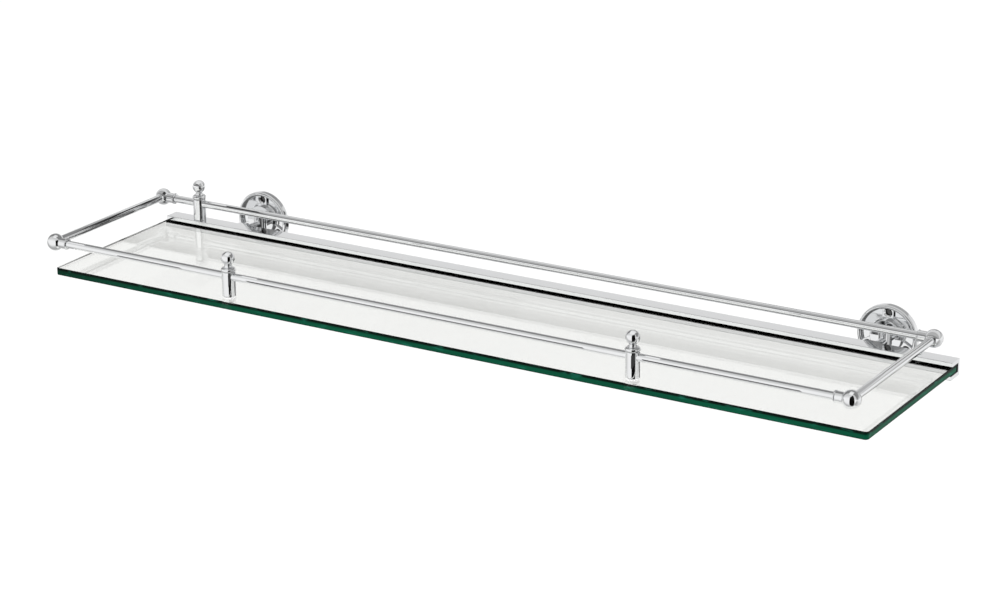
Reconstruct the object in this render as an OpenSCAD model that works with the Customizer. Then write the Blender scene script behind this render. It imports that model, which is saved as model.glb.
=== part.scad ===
// Wall-mounted glass shelf with a chrome gallery rail.
// Origin: on the wall, midway between the top screw holes of the two roses.
// X runs along the wall, +Y into the wall, +Z up. Millimetres.

/* [Glass] */
// Length of the glass
glass_w = 690; // [500:5:900]
// Front to back size of the glass
glass_d = 153; // [120:1:200]
// Thickness of the glass
glass_t = 6; // [5:0.5:10]
// Radius of the glass corners, seen from above
glass_corner_r = 3; // [1.5:0.5:12]
// Width of the polished arris round both faces
glass_arris = 0.6; // [0.3:0.1:1]
// Height of the glass top above the middle of the roses
glass_rise = 0.8; // [0:0.1:2]

/* [Gallery rail] */
// Length by which the gallery is shorter than the glass, between the middles of its corner balls
gallery_short = 10; // [0:1:60]
// Distance that the gallery stands to the left of the middle of the glass
gallery_shift = 12.5; // [0:0.5:20]
// Distance from the front edge of the glass to the front rail
rail_setback = 11; // [8:0.5:20]
// Height of the rail axis above the glass
rail_rise = 16.5; // [15:0.5:30]
// Outside diameter of the rail tube
rail_d = 6; // [5:0.1:6.5]
// Wall of the rail tube
rail_wall = 0.8; // [0.5:0.1:1.2]
// Diameter of the corner balls
ball_d = 13.5; // [11.5:0.5:16]
// Outside diameter of the ferrules on the long rails
ferrule_d = 8.2; // [7.8:0.1:9]
// Length of the ferrules
ferrule_l = 7; // [4:0.5:12]
// Diameter of the bead at the end of a ferrule
ferrule_bead_d = 9; // [8.4:0.1:11]

/* [Posts] */
// Diameter of the post body
post_d = 10.4; // [9:0.1:12]
// Distance from a corner ball to the nearer front post
front_post_inset = 166.5; // [100:0.5:230]
// Distance from an end of the channel to its rear post hole
rear_post_inset = 29; // [27:1:120]
// Diameter of the bead at the top of the post
bead_d = 11.2; // [9.6:0.1:13]
// Height of the bead
bead_h = 3; // [2:0.1:4]
// Length of post between the rail and the bead
post_cap = 0.9; // [0.5:0.1:3]
// Diameter of the ball finials
finial_d = 10.4; // [9:0.1:12]
// Diameter of the finial's neck
neck_d = 6; // [5:0.1:7]
// Height of the neck
neck_h = 3; // [2:0.1:5]
// Diameter of the threaded studs in the posts
stud_d = 4; // [3:0.1:4.4]
// Thickness of the clear washers above and below the glass
pad_t = 0.8; // [0.4:0.1:2]
// Diameter of the holes in the glass under the front posts
glass_hole_d = 7; // [5.5:0.1:8]

/* [Rear channel] */
// Distance from the wall to the back of the channel
wall_gap = 30.5; // [28:0.5:45]
// Depth of the top lip, front to back
lip_depth = 13; // [12.5:0.5:20]
// Thickness of the top lip
lip_t = 3; // [2:0.1:4]
// Thickness of the lower jaw
jaw_t = 3; // [2.5:0.1:4]
// Distance that the lower jaw reaches past the top lip
jaw_reach = 1.6; // [0:0.1:8]
// Thickness of the back web
web_t = 2.2; // [2:0.1:4]
// Thickness of the black glazing strip
strip_t = 0.8; // [0.5:0.1:1.5]
// Distance from an end of the channel to the nearer glass grub screw
grub_inset = 155; // [100:5:200]

/* [Wall roses] */
// Distance from an end of the glass to the middle of the nearer rose
rose_inset = 67.5; // [60:0.5:85]
// Diameter of a rose
rose_d = 47; // [45:0.5:55]
// Height of the rim above the wall
rose_h = 5.5; // [4.6:0.1:8]
// Width of the rounded rim
rim_w = 3.2; // [2.5:0.1:3.6]
// Thickness of the recessed floor
floor_t = 2.2; // [1.8:0.1:2.6]
// Height of the screw lugs above the wall
lug_h = 4.1; // [3.9:0.1:4.6]
// Width of the screw lugs
lug_w = 9; // [8.5:0.1:11]
// Distance from the outside of a rose to its circle of wall screws
screw_inset = 6; // [5.5:0.5:6.5]
// Diameter of the wall screw holes
screw_hole_d = 4.5; // [3.5:0.1:5]
// Diameter of the countersinks
screw_sink_d = 7; // [6:0.1:7.5]
// Distance from the outside of a rose to its raised centre
boss_inset = 11; // [10.5:0.5:13]
// Height of the raised centre above the wall
boss_h = 7.2; // [6.6:0.1:9]

/* [Bracket arms] */
// Diameter of the upright barrel on a rose
barrel_d = 9; // [8:0.1:10]
// Height of the upright barrel
barrel_h = 15; // [14:0.5:18]
// Depth of the barrel's seat in the rose
barrel_seat = 3.2; // [2:0.1:3.2]
// Diameter of an arm
arm_d = 7; // [6:0.1:8]
// Diameter of the flare where an arm meets its saddle
flare_d = 10.8; // [8.5:0.1:11]
// Length of that flare
flare_l = 5; // [3:0.5:10]
// Width of the saddle that carries the channel
saddle_w = 22; // [21:0.5:30]
// Thickness of the saddle
saddle_t = 3.2; // [3:0.1:5]
// Diameter of the small machine screws
machine_d = 3; // [2.5:0.1:3.2]
// Distance between the two screws of a saddle
saddle_pitch = 15; // [14.5:0.5:16]
// Diameter of the screw through the middle of a rose
centre_screw_d = 4; // [3.5:0.1:4.5]

/* [Hidden] */
$fn = 64;
// Overrun of every cut past the face it opens
over = 1;
// Radial clearance of a pin, tube or screw in its hole
play = 0.05;
// Eased edge of turned and extruded pieces
ease = 0.4;
// Steps in an arc of a turned outline
arc_steps = 6;
// Direction from the middle of a ferrule's bead to where the bead leaves the sleeve
bead_start = -60;

rose_r = rose_d / 2;
screw_circle_r = rose_r - screw_inset;
rose_z = -screw_circle_r;
glass_top = rose_z + glass_rise;
glass_bottom = glass_top - glass_t;
jaw_top = glass_bottom - strip_t;
jaw_bottom = jaw_top - jaw_t;
lip_top = glass_top + lip_t;

web_front = -wall_gap - web_t;
glass_back = web_front - strip_t;
glass_front = glass_back - glass_d;
lip_front = -wall_gap - lip_depth;
jaw_front = lip_front - jaw_reach;
lip_middle = -wall_gap - lip_depth / 2;

gallery_w = glass_w - gallery_short;
rail_z = glass_top + rail_rise;
post_foot = glass_top + pad_t;
rail_r = rail_d / 2;
front_y = glass_front + rail_setback;
rear_y = lip_middle;
left_x = -gallery_shift - gallery_w / 2;
right_x = -gallery_shift + gallery_w / 2;

ball_r = ball_d / 2;
ferrule_r = ferrule_d / 2;
ferrule_seat = sqrt(ball_r * ball_r - ferrule_r * ferrule_r);
socket_end = rail_r + 3 * play;
tube_end = socket_end + play;
tube_seat_r = rail_r + ease;
tube_seat = sqrt(ball_r * ball_r - tube_seat_r * tube_seat_r);

post_r = post_d / 2;
bead_bottom = rail_z + rail_r + post_cap;
bead_top = bead_bottom + bead_h;
finial_r = finial_d / 2;
finial_sink = finial_r - sqrt(finial_r * finial_r - neck_d * neck_d / 4);
finial_z = bead_top + neck_h + finial_r - finial_sink;
front_post_xs = [left_x + front_post_inset, right_x - front_post_inset];
rear_post_x = glass_w / 2 - rear_post_inset;
hole_sink = 0.8;
post_screw_grip = 8;
post_screw_head_d = 8;
post_screw_head_h = 2.2;

machine_head_d = 2 * machine_d;
machine_head_h = machine_d / 2;
machine_l = web_t + saddle_t - ease;
slot_z = (glass_top + jaw_top) / 2;
saddle_xs = [-saddle_pitch / 2, saddle_pitch / 2];
grub_xs = [grub_inset - glass_w / 2, glass_w / 2 - grub_inset];

rose_xs = [rose_inset - glass_w / 2, glass_w / 2 - rose_inset];
rim_r = rim_w / 2;
rim_inner = rose_r - rim_w;
boss_r = rose_r - boss_inset;
boss_cove = 1.6;
sink_l = (screw_sink_d - screw_hole_d) / 2;
lug_angles = [90, 210, 330];

centre_head_d = 2 * centre_screw_d;
centre_head_h = 2.2;
centre_sink = 2.5;
centre_grip = 7;

barrel_r = barrel_d / 2;
barrel_y = -boss_h + barrel_seat - barrel_r;

chrome = [0.86, 0.87, 0.88];
clear_glass = [0.80, 0.92, 0.88, 0.35];
clear_plastic = [0.9, 0.93, 0.93, 0.6];

// Points of an arc about c, from angle a0 to angle a1
function arc(c, r, a0, a1) =
  [for (i = [0:arc_steps]) let (a = a0 + (a1 - a0) * i / arc_steps) c + r * [cos(a), sin(a)]];

function unit(v) = v / norm(v);

// An outline given as [y, z, ease] corners, each corner cut back by its own ease
function eased(corners) =
  let (n = len(corners))
  [for (i = [0:n - 1])
    let (p = [corners[i][0], corners[i][1]],
         e = corners[i][2],
         before = corners[(i + n - 1) % n],
         after = corners[(i + 1) % n])
    each e == 0 ? [p] : [
      p + e * unit([before[0], before[1]] - p),
      p + e * unit([after[0], after[1]] - p)
    ]];

// Places its children along X as an extrusion of a YZ outline
module along_x(length) {
  rotate([90, 0, 90])
    linear_extrude(length, center = true)
      children();
}

// Turns its children about the Y axis, their height running out from the wall
module turned_from_wall() {
  rotate([90, 0, 0])
    rotate_extrude()
      children();
}

// Half of the glass section: radius r, with both arrises
module arris_outline(r) {
  polygon([
    [0, 0], [r - glass_arris, 0], [r, glass_arris],
    [r, glass_t - glass_arris], [r - glass_arris, glass_t], [0, glass_t]
  ]);
}

// Full glass section between two polished edges
module arris_section(width) {
  for (side = [0, 1])
    mirror([side, 0])
      arris_outline(width / 2);
}

// Glass: two crossing runs with arrised edges, and a turned corner at each end
module glass_shelf() {
  middle_y = (glass_front + glass_back) / 2;
  color(clear_glass)
    difference() {
      translate([0, middle_y, glass_bottom]) {
        rotate([90, 0, 90])
          linear_extrude(glass_w - 2 * glass_corner_r, center = true)
            arris_section(glass_d);
        rotate([90, 0, 0])
          linear_extrude(glass_d - 2 * glass_corner_r, center = true)
            arris_section(glass_w);
        for (sx = [-1, 1], sy = [-1, 1])
          translate([sx * (glass_w / 2 - glass_corner_r), sy * (glass_d / 2 - glass_corner_r), 0])
            rotate_extrude()
              arris_outline(glass_corner_r);
      }
      for (x = front_post_xs)
        translate([x, front_y, glass_bottom - over])
          cylinder(h = glass_t + 2 * over, d = glass_hole_d);
    }
}

// Channel that grips the back of the glass: lip, web and longer lower jaw
module rear_channel() {
  color(chrome)
    difference() {
      along_x(glass_w)
        polygon(eased([
          [-wall_gap, jaw_bottom, ease], [jaw_front, jaw_bottom, ease], [jaw_front, jaw_top, 0],
          [web_front, jaw_top, 0], [web_front, glass_top, 0],
          [lip_front, glass_top, 0], [lip_front, lip_top, ease], [-wall_gap, lip_top, ease]
        ]));
      for (x = [-rear_post_x, rear_post_x])
        translate([x, rear_y, 0]) {
          translate([0, 0, glass_top - over])
            cylinder(h = lip_t + 2 * over, d = stud_d + 2 * play);
          translate([0, 0, lip_top - hole_sink])
            cylinder(h = hole_sink + over, d1 = stud_d + 2 * play, d2 = stud_d + 2 * play + 2 * hole_sink + 2 * over);
        }
      for (rose_x = rose_xs, dx = saddle_xs)
        translate([rose_x + dx, 0, slot_z]) {
          translate([0, -wall_gap + over, 0])
            rotate([90, 0, 0])
              cylinder(h = web_t + 2 * over, d = machine_d + 2 * play);
          translate([0, web_front + machine_head_h, 0])
            rotate([90, 0, 0])
              cylinder(h = machine_head_h, d1 = machine_d + 2 * play, d2 = machine_head_d + 2 * play);
        }
      for (x = grub_xs)
        translate([x, lip_middle, jaw_bottom - over])
          cylinder(h = jaw_t + 2 * over, d = stud_d + 2 * play);
    }
}

// Black strip that beds the glass in the channel
module glazing_strip() {
  color([0.06, 0.06, 0.06])
    along_x(glass_w)
      polygon([
        [web_front, jaw_top], [jaw_front, jaw_top], [jaw_front, glass_bottom],
        [glass_back, glass_bottom], [glass_back, glass_top], [web_front, glass_top]
      ]);
}

// Grub screws in the lower jaw that press the glass up against the lip
module glass_grub_screws() {
  color("dimgray")
    for (x = grub_xs)
      translate([x, lip_middle, jaw_bottom])
        difference() {
          cylinder(h = jaw_t, d = stud_d);
          translate([0, 0, -over])
            cylinder(h = jaw_t / 2 + over, d = stud_d / 2, $fn = 6);
        }
}

// Tube of the gallery rail, along X and centred
module rail_tube(length) {
  color(chrome)
    rotate([0, 90, 0])
      difference() {
        cylinder(h = length, d = rail_d, center = true);
        cylinder(h = length + 2 * over, d = rail_d - 2 * rail_wall, center = true);
      }
}

module long_rail(y) {
  translate([-gallery_shift, y, rail_z])
    rail_tube(gallery_w - 2 * tube_end);
}

module side_rail(x) {
  translate([x, (front_y + rear_y) / 2, rail_z])
    rotate([0, 0, 90])
      rail_tube(rear_y - front_y - 2 * tube_end);
}

module front_rail() long_rail(front_y);
module rear_rail() long_rail(rear_y);
module left_side_rail() side_rail(left_x);
module right_side_rail() side_rail(right_x);

// Spot-faced socket for a tube, out along +X from the middle of a ball
module ball_socket(seat) {
  rotate([0, 90, 0]) {
    translate([0, 0, seat])
      cylinder(h = ball_d, d = 2 * ball_d);
    translate([0, 0, socket_end])
      cylinder(h = ball_d, d = rail_d + 2 * play);
  }
}

// Corner ball with a long rail towards sx and a side rail towards sy.
// The sphere is turned so that its pole is on the long rail and its seam is clear of both sockets.
module corner_ball(x, y, sx, sy) {
  color(chrome)
    translate([x, y, rail_z])
      mirror([sx < 0 ? 1 : 0, 0, 0])
        mirror([0, sy < 0 ? 1 : 0, 0])
          difference() {
            rotate([0, 90, 0])
              sphere(d = ball_d);
            ball_socket(ferrule_seat);
            rotate([0, 0, 90])
              ball_socket(tube_seat);
          }
}

module front_left_corner_ball() corner_ball(left_x, front_y, 1, 1);
module front_right_corner_ball() corner_ball(right_x, front_y, -1, 1);
module rear_left_corner_ball() corner_ball(left_x, rear_y, 1, -1);
module rear_right_corner_ball() corner_ball(right_x, rear_y, -1, -1);

// Ferrule that sleeves a long rail where it enters its ball, with a bead at its end
module ferrule(x, y, sx) {
  end_r = (ferrule_bead_d - ferrule_d) / 2 + ease;
  color(chrome)
    translate([x + sx * ferrule_seat, y, rail_z])
      rotate([0, sx * 90, 0])
        rotate_extrude()
          polygon(concat(
            [[rail_r + play, 0], [ferrule_r, 0]],
            arc([ferrule_bead_d / 2 - end_r, ferrule_l - end_r], end_r, bead_start, 90),
            [[rail_r + play, ferrule_l]]
          ));
}

module front_left_ferrule() ferrule(left_x, front_y, 1);
module front_right_ferrule() ferrule(right_x, front_y, -1);
module rear_left_ferrule() ferrule(left_x, rear_y, 1);
module rear_right_ferrule() ferrule(right_x, rear_y, -1);

// Turned post standing at foot_z, bored for the rail and for the finial's stud
module post(x, y, foot_z) {
  bead_r = bead_d / 2;
  color(chrome)
    translate([x, y, 0])
      difference() {
        union() {
          rotate_extrude()
            polygon(concat(
              [[0, foot_z], [post_r - ease, foot_z], [post_r, foot_z + ease], [post_r, bead_bottom - ease],
               [post_r - ease, bead_bottom]],
              arc([bead_r - bead_h / 2, bead_bottom + bead_h / 2], bead_h / 2, -90, 90),
              [[0, bead_top]]
            ));
          children();
        }
        translate([0, 0, rail_z])
          rotate([0, 90, 0])
            cylinder(h = 2 * post_d, d = rail_d + 2 * play, center = true);
        translate([0, 0, rail_z])
          cylinder(h = bead_top - rail_z + over, d = stud_d + 2 * play);
      }
}

// Front post, tapped from below for the screw that comes up through the glass
module front_post(x) {
  color(chrome)
    difference() {
      post(x, front_y, post_foot);
      translate([x, front_y, post_foot - over])
        cylinder(h = post_screw_grip + play + over, d = stud_d + 2 * play);
    }
}

module front_left_post() front_post(front_post_xs[0]);
module front_right_post() front_post(front_post_xs[1]);

// Rear post, with a stud that screws into the top of the channel
module rear_left_post() {
  stud_l = lip_t - ease;
  post(-rear_post_x, rear_y, lip_top)
    translate([0, 0, lip_top - stud_l])
      cylinder(h = stud_l + ease, d = stud_d);
}

// Ball finial on a ringed neck; its stud clamps the rail in the post
module finial(x, y) {
  neck_r = neck_d / 2;
  ring_h = neck_h / 3;
  stud_l = post_cap + bead_h - play;
  color(chrome)
    translate([x, y, 0]) {
      translate([0, 0, finial_z])
        sphere(d = finial_d);
      translate([0, 0, bead_top])
        rotate_extrude()
          polygon(concat(
            [[0, 0]],
            arc([neck_r, ring_h / 2], ring_h / 2, -90, 90),
            [[neck_r - ease, 1.5 * ring_h], [neck_r, neck_h], [neck_r, neck_h + finial_sink / 2],
             [0, neck_h + finial_sink / 2]]
          ));
      translate([0, 0, bead_top - stud_l])
        cylinder(h = stud_l + ease, d = stud_d);
    }
}

module front_left_finial() finial(front_post_xs[0], front_y);
module front_right_finial() finial(front_post_xs[1], front_y);
module rear_left_finial() finial(-rear_post_x, rear_y);

// Ring of height h at each front post, standing at z
module post_rings(z, h, outer_d) {
  for (x = front_post_xs)
    translate([x, front_y, z])
      difference() {
        cylinder(h = h, d = outer_d);
        translate([0, 0, -over])
          cylinder(h = h + 2 * over, d = stud_d + 2 * play);
      }
}

// Clear washers between the front posts and the glass
module front_post_pads() {
  color(clear_plastic)
    post_rings(glass_top, pad_t, post_d - 2 * ease);
}

// Clear bushes that keep the screws off the glass
module front_post_bushes() {
  color(clear_plastic)
    post_rings(glass_bottom, glass_t, glass_hole_d - 2 * play);
}

// Clear washers under the glass
module front_post_washers() {
  color(clear_plastic)
    post_rings(glass_bottom - pad_t, pad_t, post_d - 2 * ease);
}

// Low-headed screws that come up through the glass into the front posts
module front_post_screws() {
  head_bottom = glass_bottom - pad_t - post_screw_head_h;
  head_r = post_screw_head_d / 2;
  color("silver")
    for (x = front_post_xs)
      translate([x, front_y, head_bottom])
        difference() {
          rotate_extrude()
            polygon([
              [0, 0], [head_r - post_screw_head_h / 2, 0], [head_r - ease, post_screw_head_h / 2],
              [head_r, post_screw_head_h], [stud_d / 2, post_screw_head_h],
              [stud_d / 2, post_foot + post_screw_grip - head_bottom],
              [0, post_foot + post_screw_grip - head_bottom]
            ]);
          translate([0, 0, -over])
            cylinder(h = over + post_screw_head_h / 2, d = stud_d / 2, $fn = 6);
        }
}

// Outline of a rose from its middle to its rim, height out from the wall
module rose_outline() {
  rim_base = rose_h - rim_r;
  polygon(concat(
    [[0, 0], [rose_r - ease, 0], [rose_r, ease]],
    arc([rose_r - rim_r, rim_base], rim_r, 0, 180),
    [[rim_inner, floor_t + ease], [rim_inner - ease, floor_t], [boss_r + boss_cove, floor_t]],
    arc([boss_r + boss_cove, floor_t + boss_cove], boss_cove, -90, -180),
    [[boss_r, boss_h - ease], [boss_r - ease, boss_h], [0, boss_h]]
  ));
}

// Wall rose: turned dish, three screw lugs that bridge its recess, and a seat for the barrel
module wall_rose(x) {
  color(chrome)
    translate([x, 0, rose_z])
      difference() {
        union() {
          turned_from_wall()
            rose_outline();
          for (a = lug_angles)
            rotate([0, -a, 0])
              translate([boss_r - boss_cove, -lug_h, -lug_w / 2])
                cube([rose_r - rim_r - boss_r + boss_cove, lug_h, lug_w]);
        }
        for (a = lug_angles)
          rotate([0, -a, 0])
            translate([screw_circle_r, over, 0])
              rotate([90, 0, 0]) {
                cylinder(h = rose_h + 2 * over, d = screw_hole_d);
                translate([0, 0, lug_h + over - sink_l])
                  cylinder(h = sink_l, d1 = screw_hole_d, d2 = screw_sink_d);
                translate([0, 0, lug_h + over])
                  cylinder(h = boss_h, d = screw_sink_d);
              }
        turned_from_wall()
          polygon([
            [0, -over], [centre_head_d / 2 + play, -over], [centre_head_d / 2 + play, centre_sink],
            [centre_screw_d / 2 + play, centre_sink], [centre_screw_d / 2 + play, boss_h], [0, boss_h]
          ]);
        translate([0, barrel_y, -barrel_h / 2 - play])
          cylinder(h = barrel_h + 2 * play, r = barrel_r + play);
      }
}

module left_wall_rose() wall_rose(rose_xs[0]);
module right_wall_rose() wall_rose(rose_xs[1]);

// Upright barrel with button ends
module barrel() {
  button_r = barrel_r / 2;
  half_h = barrel_h / 2;
  rotate_extrude()
    polygon(concat(
      [[0, -half_h]],
      arc([barrel_r - button_r, -half_h + button_r], button_r, -90, 0),
      arc([barrel_r - button_r, half_h - button_r], button_r, 0, 90),
      [[0, half_h]]
    ));
}

// Outline of the turned arm, from inside the barrel to its flare in the saddle
module arm_outline() {
  arm_r = arm_d / 2;
  flare_start = wall_gap - saddle_t - flare_l;
  polygon(concat(
    [[0, -barrel_y], [arm_r, -barrel_y]],
    [for (i = [0:arc_steps])
      let (s = i / arc_steps)
        [arm_r + (flare_d / 2 - arm_r) * s * s, flare_start + flare_l * s]],
    [[flare_d / 2, wall_gap - saddle_t / 2], [0, wall_gap - saddle_t / 2]]
  ));
}

// Saddle plate with round ends, flat against the back of the channel
module saddle() {
  saddle_h = lip_top - jaw_bottom - 2 * ease;
  saddle_r = saddle_h / 2;
  translate([0, -wall_gap, (lip_top + jaw_bottom) / 2])
    rotate([-90, 0, 0])
      linear_extrude(saddle_t) {
        square([saddle_w - saddle_h, saddle_h], center = true);
        for (side = [-1, 1])
          translate([side * (saddle_w / 2 - saddle_r), 0])
            circle(saddle_r);
      }
}

// Bracket arm: barrel, turned arm and saddle in one casting
module bracket_arm(x) {
  color(chrome)
    translate([x, 0, 0])
      difference() {
        union() {
          translate([0, barrel_y, rose_z])
            barrel();
          translate([0, 0, slot_z])
            turned_from_wall()
              arm_outline();
          saddle();
        }
        translate([0, barrel_y + barrel_r + over, rose_z])
          rotate([90, 0, 0])
            cylinder(h = centre_grip + play + over, d = centre_screw_d + 2 * play);
        for (dx = saddle_xs)
          translate([dx, -wall_gap + saddle_t + over, slot_z])
            rotate([90, 0, 0])
              cylinder(h = saddle_t + 2 * over, d = machine_d + 2 * play);
      }
}

module left_bracket_arm() bracket_arm(rose_xs[0]);
module right_bracket_arm() bracket_arm(rose_xs[1]);

// Screws from the back of each rose into the barrel of its arm
module rose_centre_screws() {
  head_r = centre_head_d / 2;
  screw_end = -barrel_y - barrel_r + centre_grip;
  color("silver")
    for (x = rose_xs)
      translate([x, 0, rose_z])
        turned_from_wall()
          polygon([
            [0, centre_sink - centre_head_h], [head_r - ease, centre_sink - centre_head_h],
            [head_r, centre_sink - centre_head_h + ease], [head_r, centre_sink],
            [centre_screw_d / 2, centre_sink], [centre_screw_d / 2, screw_end], [0, screw_end]
          ]);
}

// Countersunk screws from inside the channel into the saddles
module saddle_screws() {
  color("silver")
    for (rose_x = rose_xs, dx = saddle_xs)
      translate([rose_x + dx, web_front, slot_z])
        rotate([-90, 0, 0]) {
          cylinder(h = machine_head_h, d1 = machine_head_d, d2 = machine_d);
          translate([0, 0, machine_head_h])
            cylinder(h = machine_l - machine_head_h, d = machine_d);
        }
}

glass_shelf();
rear_channel();
glazing_strip();
glass_grub_screws();
front_rail();
rear_rail();
left_side_rail();
right_side_rail();
front_left_corner_ball();
front_right_corner_ball();
rear_left_corner_ball();
rear_right_corner_ball();
front_left_ferrule();
front_right_ferrule();
rear_left_ferrule();
rear_right_ferrule();
front_left_post();
front_right_post();
rear_left_post();
front_left_finial();
front_right_finial();
rear_left_finial();
front_post_pads();
front_post_bushes();
front_post_washers();
front_post_screws();
left_wall_rose();
right_wall_rose();
left_bracket_arm();
right_bracket_arm();
rose_centre_screws();
saddle_screws();
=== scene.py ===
"""Wall-mounted glass shelf with a chrome gallery rail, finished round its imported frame."""

from math import asin, cos, degrees, pi, radians, sin, sqrt, tan

import bmesh
import bpy
from mathutils import Matrix, Vector


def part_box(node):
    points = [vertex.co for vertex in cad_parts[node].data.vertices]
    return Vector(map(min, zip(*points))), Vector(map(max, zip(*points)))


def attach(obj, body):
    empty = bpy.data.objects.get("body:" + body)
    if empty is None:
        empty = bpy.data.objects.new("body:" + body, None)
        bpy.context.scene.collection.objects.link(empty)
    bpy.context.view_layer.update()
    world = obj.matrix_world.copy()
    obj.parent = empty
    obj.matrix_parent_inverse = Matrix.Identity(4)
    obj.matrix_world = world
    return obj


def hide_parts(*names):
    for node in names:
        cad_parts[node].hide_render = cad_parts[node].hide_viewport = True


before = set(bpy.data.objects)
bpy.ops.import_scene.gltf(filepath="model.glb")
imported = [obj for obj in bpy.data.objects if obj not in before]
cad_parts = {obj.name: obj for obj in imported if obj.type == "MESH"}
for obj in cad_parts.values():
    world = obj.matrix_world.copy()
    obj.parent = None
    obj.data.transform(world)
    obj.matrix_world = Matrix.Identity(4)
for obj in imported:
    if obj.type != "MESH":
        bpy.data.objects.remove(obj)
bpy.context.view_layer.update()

# Lengths are in millimetres and the meshes in metres
MM = 0.001

# Glass
GLASS_CORNER_R = 3.0
GLASS_ARRIS = 0.6
GLASS_HOLE_D = 7.0
AIR_FILM = 0.03
# Reach of the painted shade on the glass beside the channel's lip
LIP_SHADE_REACH = 7.0

# Gallery
RAIL_D = 6.0
RAIL_WALL = 0.8
BALL_D = 13.5
FERRULE_D = 8.2
FERRULE_BEAD_D = 9.0
FERRULE_L = 7.0
FERRULE_CHAMFER = 0.1

# Posts and finials
POST_D = 10.4
POST_BEAD_D = 11.2
POST_BEAD_H = 3.0
POST_CAP = 0.9
STUD_D = 4.0
FINIAL_D = 10.4
NECK_D = 6.0
NECK_H = 3.0
NECK_COVE_R = 0.6
NECK_COVE_OUT = 0.2
NECK_COVE_RISE = 0.68

# Channel
JAW_T = 3.0
JAW_REACH = 1.6
WEB_T = 2.2
LIP_EDGE_R = 0.15
STRIP_T = 0.8
STRIP_EDGE_R = 0.2
REAR_POST_INSET = 29.0
GRUB_INSET = 155.0
MACHINE_D = 3.0
SADDLE_PITCH = 15.0

# Wall roses and arms
ROSE_INSET = 67.5
ROSE_H = 5.5
RIM_W = 3.2
FLOOR_T = 2.2
LUG_H = 4.1
LUG_W = 9.0
SCREW_PCD = 35.0
SCREW_HOLE_D = 4.5
SCREW_SINK_D = 7.0
LUG_ANGLES = (90, 210, 330)
BOSS_D = 25.0
BOSS_H = 7.2
BOSS_COVE = 1.6
BARREL_D = 9.0
BARREL_H = 15.0
BARREL_SEAT = 3.2
ARM_D = 7.0
FLARE_D = 10.8
FLARE_L = 5.0
SADDLE_W = 22.0
SADDLE_T = 3.2
CENTRE_SCREW_D = 4.0
CENTRE_HEAD_D = 8.0
CENTRE_SINK = 2.5
CENTRE_GRIP = 7.0

# Clearance of a pin or tube in its hole, eased edges, and the overrun of a cut
PLAY = 0.05
EASE = 0.4
OVER = 1.0

# Fineness of the turned pieces, of a rounded corner and of the flare of an arm
TURN_STEPS = 96
FINE_STEPS = 160
EASE_STEPS = 5
FLARE_STEPS = 16

FULL_TURN = 2 * pi

# Sharpest fold that is shaded smooth
SHARP_ANGLE = radians(32)
# Closeness, in metres, at which two points become one
WELD = 1e-7
# Radius up to which a point of an outline lies on the axis
ON_AXIS = 1e-6

# Studio
FLOOR_Z = -1400.0
FLOOR_R = 40000.0
PANEL_T = 1.0
CARD_T = 0.5
LONG_STREAKS = (0.4, 26.0, 26.0)
SHORT_STREAKS = (70.0, 26.0, 90.0)


# Places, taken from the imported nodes

def low(node):
    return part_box(node)[0] / MM


def high(node):
    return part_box(node)[1] / MM


def middle(node):
    return (low(node) + high(node)) / 2


glass_low = low("glass_shelf")
glass_high = high("glass_shelf")
glass_top = glass_high.z
glass_bottom = glass_low.z
channel_low = low("rear_channel")
channel_high = high("rear_channel")
lip_top = channel_high.z
jaw_bottom = channel_low.z
jaw_top = jaw_bottom + JAW_T
lip_front = channel_low.y + JAW_REACH
channel_back = channel_high.y
web_front = channel_back - WEB_T
rail_z = middle("front_rail").z
front_y = middle("front_rail").y
rear_y = middle("rear_rail").y
left_x = middle("left_side_rail").x
right_x = middle("right_side_rail").x
half_glass = glass_high.x
rear_post_x = half_glass - REAR_POST_INSET
front_post_xs = [middle("front_left_post").x, middle("front_right_post").x]
rose_xs = [ROSE_INSET - half_glass, half_glass - ROSE_INSET]
rose_z = middle("left_wall_rose").z
rose_r = (high("left_wall_rose").z - low("left_wall_rose").z) / 2
slot_z = (glass_top + jaw_top) / 2
barrel_y = BARREL_SEAT - BOSS_H - BARREL_D / 2

ball_r = BALL_D / 2
ferrule_r = FERRULE_D / 2
rail_r = RAIL_D / 2
ferrule_seat = sqrt(ball_r ** 2 - ferrule_r ** 2)
socket_end = rail_r + 3 * PLAY
tube_seat_r = rail_r + EASE
tube_seat = sqrt(ball_r ** 2 - tube_seat_r ** 2)
bead_bottom = rail_z + rail_r + POST_CAP
bead_top = bead_bottom + POST_BEAD_H
finial_r = FINIAL_D / 2
finial_sink = finial_r - sqrt(finial_r ** 2 - NECK_D ** 2 / 4)
finial_z = bead_top + NECK_H + finial_r - finial_sink


# Outlines, as lists of points in a plane

def arc(centre, radius, start, end, steps):
    """Points of an arc, its angles in degrees."""
    points = []
    for i in range(steps + 1):
        angle = radians(start + (end - start) * i / steps)
        points.append((centre[0] + radius * cos(angle), centre[1] + radius * sin(angle)))
    return points


def eased(corners):
    """An outline of (x, y, radius) corners with each corner rounded by its own radius."""
    points = []
    for i, (x, y, radius) in enumerate(corners):
        corner = Vector((x, y))
        if radius == 0:
            points.append((x, y))
            continue
        before = (Vector(corners[i - 1][:2]) - corner).normalized()
        after = (Vector(corners[(i + 1) % len(corners)][:2]) - corner).normalized()
        half_angle = before.angle(after) / 2
        centre = corner + (before + after).normalized() * radius / sin(half_angle)
        reach = radius / tan(half_angle)
        start = corner + before * reach - centre
        turn = start.angle_signed(corner + after * reach - centre)
        for step in range(EASE_STEPS + 1):
            points.append(tuple(centre + Matrix.Rotation(-turn * step / EASE_STEPS, 2) @ start))
    return points


# Meshes, made in millimetres

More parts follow.
